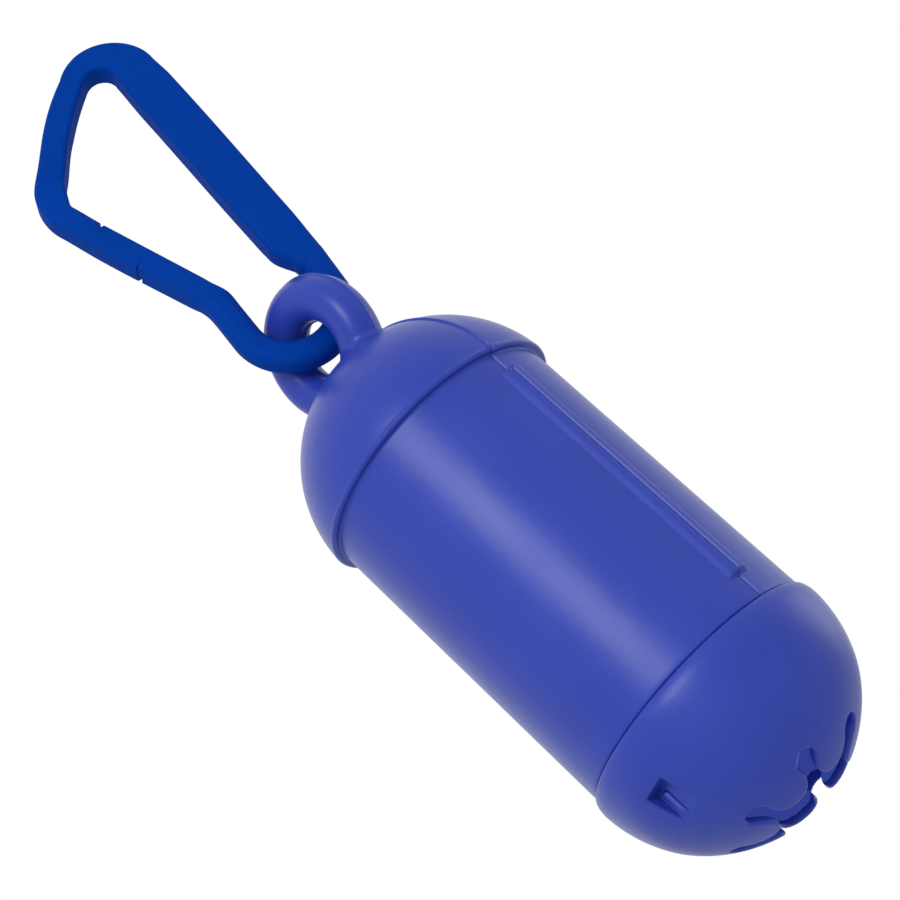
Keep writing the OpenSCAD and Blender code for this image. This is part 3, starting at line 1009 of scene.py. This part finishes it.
def roll_profile():
    """Wound layers show as fine steps on both ends of the roll."""
    low, high = node_box("bag_roll")
    core_high = node_box("roll_core")[1]
    outer = (high[0] - low[0]) / 2 - 0.05
    inner = (core_high[0] - AXIS_X) + 0.1
    rng = np.random.default_rng(7)
    layers = np.linspace(inner + 0.05, outer - 0.25, 46)
    depth = rng.uniform(0.05, 0.45, len(layers))
    depth[::2] += 0.12
    top = np.stack([layers, high[2] - 0.08 - depth], -1)
    side = np.linspace(high[2] - 0.4, low[2] + 0.4, 40)
    outside = np.stack([outer - rng.uniform(0, 0.06, len(side)), side], -1)
    bottom = np.stack([layers[::-1], low[2] + 0.08 + depth[::-1]], -1)
    inside = np.stack([np.full(6, inner), np.linspace(low[2] + 0.3, high[2] - 0.3, 6)], -1)
    return np.concatenate([top, outside, bottom, inside])


def core_profile():
    low, high = node_box("roll_core")
    outer = high[0] - AXIS_X
    inner, bevel = outer - 1.0, 0.18
    corners = [((outer - bevel, high[2] - bevel), 90, 0), ((outer - bevel, low[2] + bevel), 0, -90),
               ((inner + bevel, low[2] + bevel), -90, -180), ((inner + bevel, high[2] - bevel), 180, 90)]
    return np.concatenate([arc(centre, bevel, start, end, 5) for centre, start, end in corners])


def make_lead(material):
    """Bag film gathered from the roll's edge into a bunched tip over the opening."""
    low, high = node_box("lead_bag")
    rows, around = 60, 120
    flat_half, tip_half = 5.6, 1.2
    t = np.linspace(0, 1, rows)[:, None]
    v = np.linspace(0, TAU, around, endpoint=False)[None, :]
    gather = smooth(t * 1.15)
    half = flat_half + (tip_half - flat_half) * gather
    thick = 0.22 + 0.75 * gather
    pleats = (0.05 + 0.42 * gather * (1 - 0.35 * t)) * np.sin(7 * np.cos(v) * 2.1 + 1.5 * t + 0.6)
    pleats = pleats + 0.12 * gather * np.sin(23 * np.cos(v) + 4 * t)
    across = half * np.cos(v) * (1 + 0.05 * np.sin(9 * t + 3 * v))
    lift = thick * np.sin(v) * (0.55 + 0.45 * np.sin(v) ** 2) + pleats * 0.8
    start = np.array([11.2, high[2] - 0.62])
    end = np.array([0.0, low[2] + 1.0])
    bow = np.array([4.0, high[2] - 1.6])
    path = start * (1 - t) ** 2 + 2 * bow * t * (1 - t) + end * t ** 2
    slope = 2 * (bow - start) * (1 - t) + 2 * (end - bow) * t
    slope /= np.hypot(slope[:, :1], slope[:, 1:])
    x = path[:, :1] - lift * slope[:, 1:]
    z = path[:, 1:] + lift * slope[:, :1]
    z = np.clip(z, low[2] + 0.05, high[2] - 0.03)
    points = np.stack([x, across + 0 * x, z], -1).reshape(-1, 3)
    return mesh_piece("lead_film", on_capsule(points), capped_faces(rows, around), material)


# The pieces on their bodies

for part in (make_body(CAPSULE), make_loop(CAPSULE), make_neck(CAPSULE)):
    add_piece(part, "capsule", "capsule_plastic", "capsule_body")
add_piece(make_cap(CAPSULE), "cap", "capsule_plastic", "end_cap")
hook_frame, hook_gate = make_hook()
add_piece(hook_frame, "carabiner", "hook_plastic", "carabiner_frame")
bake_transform(hook_gate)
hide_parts("carabiner_gate")
add_piece(make_turned("roll_film", roll_profile(), 150, FILM, 0.05, 3), "roll", "bag_film", "bag_roll")
add_piece(make_turned("roll_tube", core_profile(), 96, CARD, 0.02, 5), "roll", "core_card", "roll_core")
add_piece(make_lead(FILM), "roll", "bag_film", "lead_bag")


# Floor, light and camera

FLOOR_HALF_M = 3.0
FLOOR_Z_M = -0.235
WORLD_ON_OBJECT = 0.68
WORLD_SEEN = 1.0
CENTRE_M = np.array([AXIS_X, 0, (STEP_Z + EDGE_Z) / 2]) * MM

# The camera's place from the middle of the dome's step, and what is up in its picture
CAMERA_PLACE = np.array([-100.741, -266.642, -113.547])
CAMERA_UP = (0.59785, -0.49752, 0.62852)


def make_floor():
    mesh = bpy.data.meshes.new("floor")
    sides = [(-1, -1), (1, -1), (1, 1), (-1, 1)]
    mesh.from_pydata([(x * FLOOR_HALF_M, y * FLOOR_HALF_M, FLOOR_Z_M) for x, y in sides], [], [(0, 1, 2, 3)])
    material, tree, shader, place = new_material("floor_paper")
    tone = noise(tree, place, 30, 4)
    tree.links.new(tint(tree, tone, (0.80, 0.80, 0.80), (0.84, 0.84, 0.84)), shader.inputs["Base Color"])
    tree.links.new(spread(tree, tone, 0.8, 0.9), shader.inputs["Roughness"])
    relief(tree, shader, (tone, 0.0001))
    mesh.materials.append(material)
    floor = bpy.data.objects.new("floor", mesh)
    bpy.context.scene.collection.objects.link(floor)


def make_world():
    """Soft light all round, seen as white by the camera and in reflections."""
    world = bpy.data.worlds.new("studio")
    bpy.context.scene.world = world
    world.use_nodes = True
    tree = world.node_tree
    background = tree.nodes["Background"]
    background.inputs["Color"].default_value = (1, 1, 1, 1)
    path = tree.nodes.new("ShaderNodeLightPath")
    seen = path.outputs["Is Camera Ray"]
    for name in ("Is Glossy Ray", "Is Transmission Ray"):
        either = tree.nodes.new("ShaderNodeMath")
        either.operation = "MAXIMUM"
        tree.links.new(seen, either.inputs[0])
        tree.links.new(path.outputs[name], either.inputs[1])
        seen = either.outputs[0]
    strength = tree.nodes.new("ShaderNodeMapRange")
    strength.inputs["To Min"].default_value = WORLD_ON_OBJECT
    strength.inputs["To Max"].default_value = WORLD_SEEN
    tree.links.new(seen, strength.inputs["Value"])
    tree.links.new(strength.outputs["Result"], background.inputs["Strength"])


def aim(obj, at_m, target_m, up=(0, 0, 1)):
    """Puts a lamp or camera at a place and turns it towards a target."""
    back = (Vector(at_m) - Vector(target_m)).normalized()
    side = Vector(up).cross(back).normalized()
    top = back.cross(side)
    turned = Matrix((side, top, back)).transposed().to_4x4()
    turned.translation = Vector(at_m)
    obj.matrix_world = turned


def make_lamp(name, direction, distance_m, size_m, watts):
    light = bpy.data.lights.new(name, "AREA")
    light.shape = "DISK"
    light.size = size_m
    light.energy = watts
    lamp = bpy.data.objects.new(name, light)
    bpy.context.scene.collection.objects.link(lamp)
    at = CENTRE_M + np.array(direction) / np.linalg.norm(direction) * distance_m
    aim(lamp, at, CENTRE_M)


def make_camera():
    """The photograph's view: from below the cap, with the capsule's axis slanting down to the right."""
    data = bpy.data.cameras.new("camera")
    data.sensor_width = 36
    data.lens = 90
    data.clip_start = 0.01
    camera = bpy.data.objects.new("camera", data)
    bpy.context.scene.collection.objects.link(camera)
    bpy.context.scene.camera = camera
    at = (np.array([AXIS_X, 0, STEP_Z]) + CAMERA_PLACE) * MM
    aim(camera, at, at + VIEW, CAMERA_UP)


make_floor()
make_world()
make_lamp("key", (-0.461, -0.833, 0.314), 0.6, 0.30, 1.6)
make_lamp("side", (0.97, 0.15, -0.12), 0.6, 0.4, 0.45)
make_camera()
bpy.context.scene.view_settings.view_transform = "Standard"
